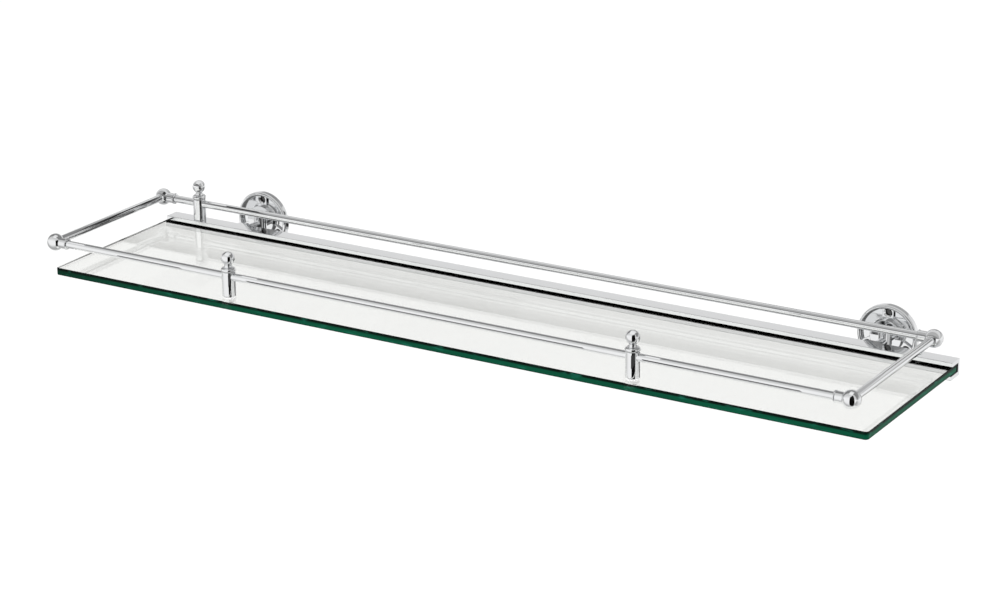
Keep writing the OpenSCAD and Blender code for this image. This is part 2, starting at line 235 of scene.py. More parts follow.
def turned(outline, steps=TURN_STEPS, closed=False):
    """A solid turned about Z from (radius, height) points. A closed outline makes a ring."""
    bm = bmesh.new()
    rings = []
    for radius, height in outline:
        count = steps if radius > ON_AXIS else 1
        ring = []
        for i in range(count):
            angle = FULL_TURN * i / count
            ring.append(bm.verts.new((radius * cos(angle), radius * sin(angle), height)))
        rings.append(ring)
    pairs = list(zip(rings, rings[1:]))
    if closed:
        pairs.append((rings[-1], rings[0]))
    for lower, upper in pairs:
        if len(lower) == 1 and len(upper) == 1:
            continue
        for i in range(steps):
            j = (i + 1) % steps
            if len(lower) == 1:
                bm.faces.new((lower[0], upper[i], upper[j]))
            elif len(upper) == 1:
                bm.faces.new((lower[i], upper[0], lower[j]))
            else:
                bm.faces.new((lower[i], upper[i], upper[j], lower[j]))
    if not closed:
        for ring in (rings[0], rings[-1]):
            if len(ring) > 1:
                bm.faces.new(ring)
    return bm


def drawn(section, length):
    """A bar of the given section, drawn along Z and centred."""
    bm = bmesh.new()
    ends = []
    for height in (-length / 2, length / 2):
        ends.append([bm.verts.new((x, y, height)) for x, y in section])
    near, far = ends
    for i in range(len(section)):
        j = (i + 1) % len(section)
        bm.faces.new((near[i], near[j], far[j], far[i]))
    bm.faces.new(near)
    bm.faces.new(far)
    return bm


def stacked(loops):
    """A solid skinned over closed loops of points that have the same count."""
    bm = bmesh.new()
    rings = [[bm.verts.new(point) for point in loop] for loop in loops]
    for lower, upper in zip(rings, rings[1:]):
        for i in range(len(lower)):
            j = (i + 1) % len(lower)
            bm.faces.new((lower[i], lower[j], upper[j], upper[i]))
    bm.faces.new(rings[0])
    bm.faces.new(rings[-1])
    return bm


def moved(bm, place=(0, 0, 0), turn=None):
    """The mesh turned and then set in its place."""
    if turn is not None:
        bmesh.ops.transform(bm, matrix=turn, verts=bm.verts)
    bmesh.ops.translate(bm, vec=Vector(place), verts=bm.verts)
    return bm


# Turns that lay a mesh made along Z: out along +X, -X, +Y or -Y
TO_RIGHT = Matrix.Rotation(radians(90), 4, "Y")
TO_LEFT = Matrix.Rotation(radians(-90), 4, "Y")
TO_WALL = Matrix.Rotation(radians(-90), 4, "X")
FROM_WALL = Matrix.Rotation(radians(90), 4, "X")
# Turn that lays a section drawn in (y, z) along X
ALONG_X = Matrix(((0, 0, 1, 0), (1, 0, 0, 0), (0, 1, 0, 0), (0, 0, 0, 1)))


def pin(radius, start, end):
    """A plain round pin along Z between two heights, as a tool for a bore."""
    return turned([(0, start), (radius, start), (radius, end), (0, end)])


def solid(name, bm):
    """An object of the mesh, in metres and linked to the scene."""
    bmesh.ops.recalc_face_normals(bm, faces=bm.faces)
    bmesh.ops.scale(bm, vec=(MM, MM, MM), verts=bm.verts)
    mesh = bpy.data.meshes.new(name)
    bm.to_mesh(mesh)
    bm.free()
    piece = bpy.data.objects.new(name, mesh)
    bpy.context.scene.collection.objects.link(piece)
    return piece


def worked(piece, tools, operation):
    """The piece after each tool is cut from it or joined to it."""
    for number, bm in enumerate(tools):
        tool = solid(f"tool_{number}", bm)
        step = piece.modifiers.new("step", "BOOLEAN")
        step.object = tool
        step.operation = operation
        step.solver = "EXACT"
        graph = bpy.context.evaluated_depsgraph_get()
        mesh = bpy.data.meshes.new_from_object(piece.evaluated_get(graph))
        piece.modifiers.clear()
        old = piece.data
        piece.data = mesh
        bpy.data.meshes.remove(old)
        bpy.data.objects.remove(tool)
    return piece


def cut(piece, *tools):
    return worked(piece, tools, "DIFFERENCE")


def joined(piece, *tools):
    return worked(piece, tools, "UNION")


def smoothed(piece):
    """Smooth faces with crisp edges where two faces meet sharply."""
    bm = bmesh.new()
    bm.from_mesh(piece.data)
    bmesh.ops.remove_doubles(bm, verts=bm.verts, dist=WELD)
    for face in bm.faces:
        face.smooth = True
    for edge in bm.edges:
        edge.smooth = edge.calc_face_angle(0) < SHARP_ANGLE
    bm.to_mesh(piece.data)
    bm.free()
    weighted = piece.modifiers.new("even_shading", "WEIGHTED_NORMAL")
    weighted.keep_sharp = True
    return piece


def finished(piece, finish, node):
    """Gives the piece its finish and body, and hides the CAD node that it stands for."""
    smoothed(piece)
    piece.data.name = piece.name
    piece.data.materials.clear()
    piece.data.materials.append(finish)
    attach(piece, "root")
    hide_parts(node)


# Shader maths

class Signal:
    """A shader socket; arithmetic on it adds the Math nodes."""

    def __init__(self, shader, socket):
        self.shader = shader
        self.socket = socket

    def maths(self, operation, *values):
        inputs = dict(enumerate(values))
        return self.shader.add("ShaderNodeMath", {"operation": operation}, inputs)

    def __add__(self, other):
        return self.maths("ADD", self, other)

    __radd__ = __add__

    def __sub__(self, other):
        return self.maths("SUBTRACT", self, other)

    def __rsub__(self, other):
        return self.maths("SUBTRACT", other, self)

    def __mul__(self, other):
        return self.maths("MULTIPLY", self, other)

    __rmul__ = __mul__

    def __truediv__(self, other):
        return self.maths("DIVIDE", self, other)

    def __gt__(self, other):
        return self.maths("GREATER_THAN", self, other)

    def __lt__(self, other):
        return self.maths("LESS_THAN", self, other)

    def __abs__(self):
        return self.maths("ABSOLUTE", self)

    def either(self, other):
        """1 where this mask or the other is 1."""
        return self.maths("MAXIMUM", self, other)

    def rising(self, start, end):
        """0 up to start and 1 from end on, with a smooth rise between them."""
        inputs = {"Value": self, "From Min": start, "From Max": end}
        return self.shader.add("ShaderNodeMapRange", {"interpolation_type": "SMOOTHSTEP"}, inputs)

    def within(self, start, end, soft):
        """1 between start and end, with soft sides."""
        return self.rising(start - soft, start + soft) * (1 - self.rising(end - soft, end + soft))


class Shader:
    """The nodes of one finish."""

    def __init__(self, tree):
        self.tree = tree
        tree.nodes.clear()

    def add(self, kind, settings=None, inputs=None, output=0):
        """A node of that kind: its settings first, then the values and links of its sockets."""
        node = self.tree.nodes.new(kind)
        for name, value in (settings or {}).items():
            if name == "stops":
                self.set_stops(node.color_ramp, value)
            else:
                setattr(node, name, value)
        for name, value in (inputs or {}).items():
            if isinstance(value, Signal):
                self.tree.links.new(value.socket, node.inputs[name])
            else:
                node.inputs[name].default_value = value
        return Signal(self, node.outputs[output] if node.outputs else None)

    def set_stops(self, ramp, stops):
        while len(ramp.elements) > 1:
            ramp.elements.remove(ramp.elements[-1])
        ramp.elements[0].position = stops[0][0]
        ramp.elements[0].color = stops[0][1]
        for position, colour in stops[1:]:
            ramp.elements.new(position).color = colour

    def place(self):
        """Coordinates on the object, in metres."""
        return self.add("ShaderNodeTexCoord", output="Object")

    def stretched(self, x, y, z):
        """Coordinates on the object, scaled along each axis."""
        return self.add("ShaderNodeMapping", {}, {"Vector": self.place(), "Scale": (x, y, z)})

    def mottle(self, scale, detail, where=None):
        """Smooth noise from 0 to 1, its scale in cycles a metre."""
        inputs = {"Scale": scale, "Detail": detail}
        inputs["Vector"] = where if where is not None else self.place()
        return self.add("ShaderNodeTexNoise", {}, inputs)

    def blend(self, share, first, second):
        """A colour between two colours."""
        inputs = {"Factor": share, 6: first, 7: second}
        return self.add("ShaderNodeMix", {"data_type": "RGBA"}, inputs, output=2)

    def relief(self, height, depth, strength):
        """Normals of a height in units of depth millimetres."""
        inputs = {"Height": height, "Distance": depth * MM, "Strength": strength}
        return self.add("ShaderNodeBump", {}, inputs)

    def normals(self):
        """The x, y and z parts of the surface's own normal."""
        facing = self.add("ShaderNodeNewGeometry", output="Normal")
        return self.parts(facing)

    def parts(self, vector):
        parts = self.add("ShaderNodeSeparateXYZ", {}, {"Vector": vector}).socket.node
        return [Signal(self, output) for output in parts.outputs]

    def surface(self, shader):
        self.add("ShaderNodeOutputMaterial", {}, {"Surface": shader})


def grey(level):
    return (level, level, level, 1.0)


def new_finish(name):
    material = bpy.data.materials.new(name)
    material.use_nodes = True
    return material, Shader(material.node_tree)


# Finishes

def polished_chrome():
    """Bright chrome with buffing waves, wipe marks and haze; in the roses' screw bores it is rougher
    and painted dark as painted shade.
    """
    material, shader = new_finish("polished_chrome")
    haze = shader.mottle(60.0, 2.0)
    wipes = shader.mottle(1.0, 4.0, shader.stretched(900.0, 140.0, 900.0))
    buffing = shader.mottle(220.0, 2.0)
    hazy = (0.83, 0.84, 0.85, 1.0)
    bright = (0.89, 0.895, 0.90, 1.0)
    tone = shader.blend(haze, hazy, bright)
    across, out, up = shader.parts(shader.place())
    sideways = abs(abs(across) - rose_xs[1] * MM)
    upward = up - rose_z * MM
    circle = SCREW_PCD / 2 * MM
    # The mask reaches a little past the bore
    margin = 1.06
    bore_r = SCREW_HOLE_D / 2 * MM * margin
    bore = 0
    # Sideways is folded about the rose, so one lower hole stands for both
    for angle in (90, -30):
        du = sideways - circle * cos(radians(angle))
        dv = upward - circle * sin(radians(angle))
        bore = bore + (du * du + dv * dv < bore_r ** 2)
    # Painted shade in the screw bores: the chrome there is painted dark, and also made rougher
    dull_shaded_bore = bore * (out > -LUG_H * MM)
    inputs = {
        "Base Color": shader.blend(dull_shaded_bore, tone, grey(0.1)),
        "Metallic": 1.0,
        "Roughness": 0.03 + haze * 0.03 + wipes * 0.02 + dull_shaded_bore * 0.3,
        "Normal": shader.relief(buffing + wipes * 0.3, 0.004, 0.35),
    }
    shader.surface(shader.add("ShaderNodeBsdfPrincipled", {}, inputs))
    return material


def shelf_glass():
    """Float glass with a faint tint, painted shade beside the lip where the top has no reflection, and
    a deep green edge with painted light and glints.
    """
    material, shader = new_finish("shelf_glass")
    along, across, height = shader.parts(shader.place())
    upward = shader.normals()[2]
    inside = shader.add("ShaderNodeNewGeometry", output="Backfacing")
    ior = 1.52

    tint = (0.825, 0.83, 0.812, 1.0)
    light_tint = (0.845, 0.85, 0.832, 1.0)
    smears = shader.mottle(14.0, 4.0)
    body_inputs = {
        "Base Color": shader.blend(smears, tint, light_tint),
        "Roughness": smears.rising(0.55, 0.9) * 0.02,
        "IOR": ior,
        "Transmission Weight": 1.0,
    }
    body = shader.add("ShaderNodeBsdfPrincipled", {}, body_inputs)

    # Painted shade beside the lip: the top there has no reflection over it, so the black strip shows
    lip_shade_inputs = {"Color": (0.9, 0.91, 0.9, 1.0), "Roughness": 0.0, "IOR": ior}
    lip_shade = shader.add("ShaderNodeBsdfRefraction", {}, lip_shade_inputs)
    lip_shade_start = lip_front - LIP_SHADE_REACH
    beside_lip = across.rising(lip_shade_start * MM, (lip_shade_start + 1.0) * MM)
    lip_shade_share = beside_lip * (upward > 0.9) * (1 - inside)
    plate = shader.add("ShaderNodeMixShader", {}, {0: lip_shade_share, 1: body, 2: lip_shade})

    # The edge is the glass's own deep green, dark at its top, with a painted lit band in streaks,
    # painted glints, and painted shade towards the left
    deep_green = (0.0004, 0.0055, 0.0032, 1.0)
    lit_green = (0.0012, 0.088, 0.043, 1.0)
    glint_green = (0.01, 0.16, 0.1, 1.0)
    lit_from = -370 * MM
    lit_to = -190 * MM
    below_top = (glass_top * MM - height) / ((glass_top - glass_bottom) * MM)
    streaks = shader.mottle(1.0, 3.0, shader.stretched(18.0, 18.0, 420.0))
    glints = shader.mottle(1.0, 2.0, shader.stretched(70.0, 70.0, 300.0)).rising(0.56, 0.72)
    lit = 0.3 + along.rising(lit_from, lit_to) * 0.7
    lit_band = below_top.within(0.34, 0.9, 0.1) * (0.35 + streaks * 0.9) * lit
    green = shader.blend(lit_band, deep_green, lit_green)
    edge_inputs = {
        "Base Color": shader.blend(glints * 0.5, green, glint_green),
        "Roughness": 0.2 + streaks * 0.2,
        "IOR": 1.4,
        "Specular IOR Level": 0.06,
        "Normal": shader.relief(streaks, 0.02, 0.5),
    }
    edge = shader.add("ShaderNodeBsdfPrincipled", {}, edge_inputs)

    # Only the outer sides wear the edge: the walls of the drilled holes stay clear
    upright = 1 - abs(upward).rising(0.78, 0.88)
    ends = abs(along) > (half_glass - GLASS_CORNER_R) * MM
    outer = ends.either(across < (glass_low.y + GLASS_CORNER_R) * MM)
    cover = 0.985
    edge_share = upright * outer * (1 - inside) * cover
    sheet = shader.add("ShaderNodeMixShader", {}, {0: edge_share, 1: plate, 2: edge})
    clear = shader.add("ShaderNodeBsdfTransparent")
    bore_share = upright * (1 - outer)
    shader.surface(shader.add("ShaderNodeMixShader", {}, {0: bore_share, 1: sheet, 2: clear}))
    return material


def black_strip():
    """Matt black glazing strip with a fine extruded grain."""
    material, shader = new_finish("black_strip")
    grain = shader.mottle(1.0, 4.0, shader.stretched(60.0, 2500.0, 2500.0))
    dust = shader.mottle(300.0, 2.0).rising(0.6, 0.8)
    inputs = {
        "Base Color": shader.blend(dust * 0.3, grey(0.006), grey(0.02)),
        "Roughness": 0.55 + grain * 0.25,
        "Normal": shader.relief(grain, 0.02, 0.6),
    }
    shader.surface(shader.add("ShaderNodeBsdfPrincipled", {}, inputs))
    return material


def clear_plastic():
    """Moulded translucent plastic, milky, with a painted glow for the light it gathers."""
    material, shader = new_finish("clear_plastic")
    clouding = shader.mottle(500.0, 3.0)
    inputs = {
        "Base Color": shader.blend(clouding, grey(0.86), grey(0.93)),
        "Roughness": 0.25 + clouding * 0.15,
        "IOR": 1.3,
        "Transmission Weight": 0.15,
        # Painted glow: the plastic gives off light though it is no lamp
        "Emission Color": shader.blend(clouding, grey(0.8), grey(0.9)),
        "Emission Strength": 0.35,
        "Normal": shader.relief(clouding, 0.01, 0.5),
    }
    shader.surface(shader.add("ShaderNodeBsdfPrincipled", {}, inputs))
    return material


def screw_steel():
    """Turned steel with fine machining lines."""
    material, shader = new_finish("screw_steel")
    lines = shader.mottle(1.0, 3.0, shader.stretched(300.0, 300.0, 6000.0))
    stain = shader.mottle(250.0, 3.0)
    inputs = {
        "Base Color": shader.blend(stain, grey(0.72), grey(0.85)),
        "Metallic": 1.0,
        "Roughness": 0.25 + lines * 0.2,
        "Normal": shader.relief(lines, 0.01, 0.6),
    }
    shader.surface(shader.add("ShaderNodeBsdfPrincipled", {}, inputs))
    return material


chrome = polished_chrome()
glass = shelf_glass()
rubber = black_strip()
plastic = clear_plastic()
steel = screw_steel()


# Glass shelf

def plate_loop(inset, height):
    """The outline of the glass, drawn in by an inset, at a height."""
    middle_y = (glass_low.y + glass_high.y) / 2
    half_x = half_glass - GLASS_CORNER_R
    half_y = (glass_high.y - glass_low.y) / 2 - GLASS_CORNER_R
    loop = []
    for corner, (sx, sy) in enumerate([(1, 1), (-1, 1), (-1, -1), (1, -1)]):
        centre = (sx * half_x, middle_y + sy * half_y)
        start = 90 * corner
        for x, y in arc(centre, GLASS_CORNER_R - inset, start, start + 90, 8):
            loop.append((x, y, height))
    return loop


def glass_shelf():
    """The plate with eased edges and the two holes under the front posts."""
    arris = GLASS_ARRIS
    shoulder = arris * 0.3
    levels = [
        (arris, glass_bottom), (shoulder, glass_bottom + shoulder), (0, glass_bottom + arris),
        (0, glass_top - arris), (shoulder, glass_top - shoulder), (arris, glass_top),
    ]
    plate = solid("shelf_plate", stacked([plate_loop(inset, height) for inset, height in levels]))
    bores = []
    for x in front_post_xs:
        bore = pin(GLASS_HOLE_D / 2, glass_bottom - OVER, glass_top + OVER)
        bores.append(moved(bore, (x, front_y, 0)))
    cut(plate, *bores)
    finished(plate, glass, "glass_shelf")


# Rear channel and its strip

def rear_channel():
    """The channel with its holes for the rear post, the grub screws and the saddle screws."""
    section = eased([
        (channel_back, jaw_bottom, EASE), (channel_low.y, jaw_bottom, EASE),
        (channel_low.y, jaw_top, LIP_EDGE_R), (web_front, jaw_top, 0), (web_front, glass_top, 0),
        (lip_front, glass_top, LIP_EDGE_R), (lip_front, lip_top, EASE), (channel_back, lip_top, EASE),
    ])
    channel = solid("channel", moved(drawn(section, 2 * half_glass), turn=ALONG_X))
    stud_r = STUD_D / 2 + PLAY
    tools = []
    for x in (-rear_post_x, rear_post_x):
        hole = turned([
            (0, glass_top - OVER), (stud_r, glass_top - OVER), (stud_r, lip_top - 2 * EASE),
            (stud_r + 2 * EASE + OVER, lip_top + OVER), (0, lip_top + OVER),
        ])
        tools.append(moved(hole, (x, rear_y, 0)))
    for x in (GRUB_INSET - half_glass, half_glass - GRUB_INSET):
        tools.append(moved(pin(stud_r, jaw_bottom - OVER, jaw_top + OVER), (x, rear_y, 0)))
    machine_r = MACHINE_D / 2 + PLAY
    head_r = MACHINE_D + PLAY
    for rose_x in rose_xs:
        for dx in (-SADDLE_PITCH / 2, SADDLE_PITCH / 2):
            hole = turned([
                (0, -OVER), (machine_r, -OVER), (machine_r, WEB_T - MACHINE_D / 2),
                (head_r, WEB_T), (0, WEB_T),
            ])
            tools.append(moved(hole, (rose_x + dx, channel_back, slot_z), FROM_WALL))
    cut(channel, *tools)
    finished(channel, chrome, "rear_channel")


def glazing_strip():
    """The bent strip, kept a film of air off the glass."""
    inner_back = web_front - STRIP_T + AIR_FILM
    inner_floor = glass_bottom - AIR_FILM
    section = eased([
        (web_front, jaw_top, 0), (channel_low.y, jaw_top, STRIP_EDGE_R),
        (channel_low.y, inner_floor, STRIP_EDGE_R), (inner_back, inner_floor, 0),
        (inner_back, glass_top, 0), (web_front, glass_top, 0),
    ])
    strip = solid("strip", moved(drawn(section, 2 * half_glass), turn=ALONG_X))
    finished(strip, rubber, "glazing_strip")


# Gallery rail

def tube(node, length, turn):
    """A length of rail tube with its bore."""
    inner = rail_r - RAIL_WALL
    half = length / 2
    outline = [(inner, -half), (rail_r, -half), (rail_r, half), (inner, half)]
    piece = solid(node + "_tube", moved(turned(outline, closed=True), middle(node), turn))
    finished(piece, chrome, node)


def gallery_tubes():
    for node in ("front_rail", "rear_rail"):
        tube(node, high(node).x - low(node).x, TO_RIGHT)
    for node in ("left_side_rail", "right_side_rail"):
        tube(node, high(node).y - low(node).y, TO_WALL)


def corner_ball(side, row, x, y, inward, sideward):
    """A ball with a spot-faced socket for the long rail, and one for the side rail."""
    socket_r = rail_r + PLAY
    seat_angle = degrees(asin(ferrule_seat / ball_r))
    outline = [(0, -ball_r)]
    outline += arc((0, 0), ball_r, -90, seat_angle, 48)[1:]
    outline += [(socket_r, ferrule_seat), (socket_r, socket_end), (0, socket_end)]
    along = TO_RIGHT if inward > 0 else TO_LEFT
    ball = solid(f"{row}_{side}_ball", moved(turned(outline), turn=along))
    face = pin(BALL_D, tube_seat, BALL_D)
    socket = pin(socket_r, socket_end, BALL_D)
    sideways = TO_WALL if sideward > 0 else FROM_WALL
    cut(ball, moved(face, turn=sideways), moved(socket, turn=sideways))
    ball.data.transform(Matrix.Translation(Vector((x, y, rail_z)) * MM))
    finished(ball, chrome, f"{row}_{side}_corner_ball")


def ferrule(side, row, x, y, inward):
    """A turned sleeve on the long rail, with a bead at its end."""
    inner = rail_r + PLAY
    bead_r = (FERRULE_BEAD_D - FERRULE_D) / 2 + EASE
    outline = [(inner, 0), (ferrule_r - FERRULE_CHAMFER, 0), (ferrule_r, FERRULE_CHAMFER)]
    outline += arc((FERRULE_BEAD_D / 2 - bead_r, FERRULE_L - bead_r), bead_r, -60, 80, 14)
    outline += [(inner, FERRULE_L)]
    place = (x + inward * ferrule_seat, y, rail_z)
    along = TO_RIGHT if inward > 0 else TO_LEFT
    sleeve = solid(f"{row}_{side}_sleeve", moved(turned(outline, closed=True), place, along))
    finished(sleeve, chrome, f"{row}_{side}_ferrule")


def gallery_corners():
    """Four balls, and a ferrule where each long rail enters one."""
    for row, y, sideward in (("front", front_y, 1), ("rear", rear_y, -1)):
        for side, x, inward in (("left", left_x, 1), ("right", right_x, -1)):
            corner_ball(side, row, x, y, inward, sideward)
            ferrule(side, row, x, y, inward)


# Posts and finials

def post(node, x, y):
    """A turned post, bored for the rail, the finial's stud and, in front, the screw from below."""
    foot = lip_top if node.startswith("rear") else low(node).z
    post_r = POST_D / 2
    bead_r = POST_BEAD_D / 2
    outline = [(0, foot)]
    outline += arc((post_r - EASE, foot + EASE), EASE, -90, 0, 5)
    outline += arc((post_r - EASE, bead_bottom - EASE), EASE, 0, 90, 5)
    bead_round = POST_BEAD_H / 2
    outline += arc((bead_r - bead_round, bead_bottom + bead_round), bead_round, -90, 90, 20)
    outline += [(0, bead_top)]
    piece = solid(node + "_body", moved(turned(outline), (x, y, 0)))
    bore_r = STUD_D / 2 + PLAY
    rail_bore = moved(pin(rail_r + PLAY, -POST_D, POST_D), (x, y, rail_z), TO_RIGHT)
    stud_bore = moved(pin(bore_r, rail_z, bead_top + OVER), (x, y, 0))
    if node.startswith("rear"):
        joined(piece, moved(pin(STUD_D / 2, low(node).z, foot + EASE), (x, y, 0)))
        cut(piece, rail_bore, stud_bore)
    else:
        screw_top = high("front_post_screws").z + PLAY
        cut(piece, rail_bore, stud_bore, moved(pin(bore_r, foot - OVER, screw_top), (x, y, 0)))
    finished(piece, chrome, node)


def finial(node, x, y):
    """A ball on a ringed neck, with its stud."""
    neck_r = NECK_D / 2
    ring_r = NECK_H / 6
    stud_r = STUD_D / 2
    cove_start = degrees(asin((finial_sink - finial_r) / finial_r))
    outline = [(0, low(node).z), (stud_r, low(node).z), (stud_r, bead_top), (neck_r, bead_top)]
    outline += arc((neck_r, bead_top + ring_r), ring_r, -90, 90, 10)
    cove = (neck_r + NECK_COVE_OUT, bead_top + NECK_H * NECK_COVE_RISE)
    outline += arc(cove, NECK_COVE_R, 240, 120, 8)
    outline += arc((0, finial_z), finial_r, cove_start, 90, 48)
    piece = solid(node + "_knob", moved(turned(outline), (x, y, 0)))
    finished(piece, chrome, node)


def posts():
    """Two posts on the glass in front and one on the channel at the rear left."""
    for side, x in zip(("left", "right"), front_post_xs):
        post(f"front_{side}_post", x, front_y)
        finial(f"front_{side}_finial", x, front_y)
    post("rear_left_post", -rear_post_x, rear_y)
    finial("rear_left_finial", -rear_post_x, rear_y)


# Wall roses

def rose_outline():
    """Points (radius, height off the wall) from the middle of the back to the raised centre."""
    rim_r = RIM_W / 2
    boss_r = BOSS_D / 2
    rim_inner = rose_r - RIM_W
    outline = [(0, 0)]
    outline += arc((rose_r - EASE, EASE), EASE, -90, 0, 4)
    outline += arc((rose_r - rim_r, ROSE_H - rim_r), rim_r, 0, 180, 24)
    outline += arc((rim_inner - EASE, FLOOR_T + EASE), EASE, 0, -90, 5)
    outline += arc((boss_r + BOSS_COVE, FLOOR_T + BOSS_COVE), BOSS_COVE, -90, -180, 10)
    outline += arc((boss_r - EASE, BOSS_H - EASE), EASE, 0, 90, 5)
    return outline + [(0, BOSS_H)]


def screw_lug():
    """A lug that bridges the recess, with eased sides, out along +X from the centre."""
    start = BOSS_D / 2 - BOSS_COVE
    end = rose_r - RIM_W / 2
    half = LUG_W / 2
    section = eased([(-half, 0, 0), (half, 0, 0), (half, LUG_H, EASE), (-half, LUG_H, EASE)])
    return moved(drawn(section, end - start), ((start + end) / 2, 0, 0), ALONG_X)


def screw_bore():
    """The countersunk bore of a wall screw, at the lug's own place."""
    hole_r = SCREW_HOLE_D / 2
    sink_r = SCREW_SINK_D / 2
    bore = turned([
        (0, -OVER), (hole_r, -OVER), (hole_r, LUG_H - sink_r + hole_r), (sink_r, LUG_H),
        (sink_r, LUG_H + BOSS_H), (0, LUG_H + BOSS_H),
    ])
    return moved(bore, (SCREW_PCD / 2, 0, 0))


def wall_rose(side, x):
    """A turned dish with three screw lugs, a seat for the barrel and a bore for the centre screw."""
    rose = solid(f"{side}_rose_dish", turned(rose_outline(), FINE_STEPS))
    spins = [Matrix.Rotation(radians(angle), 4, "Z") for angle in LUG_ANGLES]
    joined(rose, *[moved(screw_lug(), turn=spin) for spin in spins])
    screw_r = CENTRE_SCREW_D / 2 + PLAY
    head_r = CENTRE_HEAD_D / 2 + PLAY
    centre_bore = turned([
        (0, -OVER), (head_r, -OVER), (head_r, CENTRE_SINK), (screw_r, CENTRE_SINK),
        (screw_r, BOSS_H + OVER), (0, BOSS_H + OVER),
    ])
    half_seat = BARREL_H / 2 + PLAY
    seat = moved(pin(BARREL_D / 2 + PLAY, -half_seat, half_seat), (0, 0, -barrel_y), TO_WALL)
    cut(rose, *[moved(screw_bore(), turn=spin) for spin in spins], centre_bore, seat)
    rose.data.transform(Matrix.Translation(Vector((x, 0, rose_z)) * MM) @ FROM_WALL)
    finished(rose, chrome, f"{side}_wall_rose")


def bracket_arm(side, x):
    """An upright barrel with button ends, a turned arm that flares, and the saddle on the channel."""
    barrel_r = BARREL_D / 2
    button_r = barrel_r / 2
    half = BARREL_H / 2
    barrel = [(0, -half)]
    barrel += arc((barrel_r - button_r, -half + button_r), button_r, -90, 0, 12)
    barrel += arc((barrel_r - button_r, half - button_r), button_r, 0, 90, 12)
    barrel += [(0, half)]
    arm_r = ARM_D / 2
    saddle_back = -channel_back - SADDLE_T
    flare_start = saddle_back - FLARE_L
    arm = [(0, -barrel_y), (arm_r, -barrel_y)]
    for i in range(FLARE_STEPS + 1):
        share = i / FLARE_STEPS
        arm.append((arm_r + (FLARE_D / 2 - arm_r) * share ** 2, flare_start + FLARE_L * share))
    arm += [(FLARE_D / 2, saddle_back + SADDLE_T / 2), (0, saddle_back + SADDLE_T / 2)]
    saddle_h = lip_top - jaw_bottom - 2 * EASE
    saddle_r = saddle_h / 2
    reach = SADDLE_W / 2 - saddle_r
    plate = arc((reach, 0), saddle_r, -90, 90, 24) + arc((-reach, 0), saddle_r, 90, 270, 24)
    saddle_place = (x, channel_back + SADDLE_T / 2, (lip_top + jaw_bottom) / 2)
    piece = solid(f"{side}_arm", moved(turned(barrel), (x, barrel_y, rose_z)))
    joined(
        piece,
        moved(turned(arm), (x, 0, slot_z), FROM_WALL),
        moved(drawn(plate, SADDLE_T), saddle_place, FROM_WALL),
    )
    centre_bore = pin(CENTRE_SCREW_D / 2 + PLAY, -OVER, CENTRE_GRIP + PLAY)
    tools = [moved(centre_bore, (x, barrel_y + barrel_r, rose_z), FROM_WALL)]
    for dx in (-SADDLE_PITCH / 2, SADDLE_PITCH / 2):
        tap = pin(MACHINE_D / 2 + PLAY, -OVER, SADDLE_T + OVER)
        tools.append(moved(tap, (x + dx, channel_back + SADDLE_T, slot_z), FROM_WALL))
    cut(piece, *tools)
    finished(piece, chrome, f"{side}_bracket_arm")


def wall_fixings():
    """Two roses, each with its bracket arm."""
    for side, x in zip(("left", "right"), rose_xs):
        wall_rose(side, x)
        bracket_arm(side, x)


def carried_over():
    """The washers, bushes and screws keep their CAD shapes and get their finishes."""
    finishes = {
        "front_post_pads": plastic, "front_post_bushes": plastic, "front_post_washers": plastic,
        "front_post_screws": steel, "glass_grub_screws": steel, "rose_centre_screws": steel,
        "saddle_screws": steel,
    }
    for node, finish in finishes.items():
        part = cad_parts[node]
        if not part.material_slots:
            part.data.materials.append(finish)
        for slot in part.material_slots:
            slot.material = finish


# Studio

def pale_floor():
    """A plain floor far below the shelf, which polished and clear pieces don't see."""
    material, shader = new_finish("pale_floor")
    cloud = shader.mottle(0.6, 2.0)
    inputs = {
        "Base Color": shader.blend(cloud, grey(0.93), grey(0.95)),
        "Roughness": 0.8 + cloud * 0.1,
        "Specular IOR Level": 0.0,
    }
    shader.surface(shader.add("ShaderNodeBsdfPrincipled", {}, inputs))
    floor = solid("floor", moved(pin(FLOOR_R, -OVER, 0), (0, 0, FLOOR_Z)))
    floor.data.materials.append(material)
    floor.visible_glossy = False
    floor.visible_transmission = False


def hole_backs():
    """Dark backs at the wall face of the roses' screw holes, as the shaded wall shows in them.

    They are seen from the front only.
    """
    material, shader = new_finish("hole_shade")
    cloud = shader.mottle(300.0, 2.0)
    facing_wall = shader.normals()[1] > 0
    dim = shader.add("ShaderNodeEmission", {}, {"Color": shader.blend(cloud, grey(0.04), grey(0.1))})
    clear = shader.add("ShaderNodeBsdfTransparent")
    shader.surface(shader.add("ShaderNodeMixShader", {}, {0: facing_wall, 1: dim, 2: clear}))
    back_r = SCREW_HOLE_D / 2 - PLAY
    near_wall = 0.2
    off_wall = 0.3
    reach = SCREW_PCD / 2
    for side, x in zip(("left", "right"), rose_xs):
        for number, angle in enumerate(LUG_ANGLES):
            place = (x + reach * cos(radians(angle)), 0, rose_z + reach * sin(radians(angle)))
            disc = moved(pin(back_r, near_wall, off_wall), place, FROM_WALL)
            back = solid(f"{side}_hole_back_{number}", disc)
            back.data.materials.append(material)
            back.visible_shadow = False


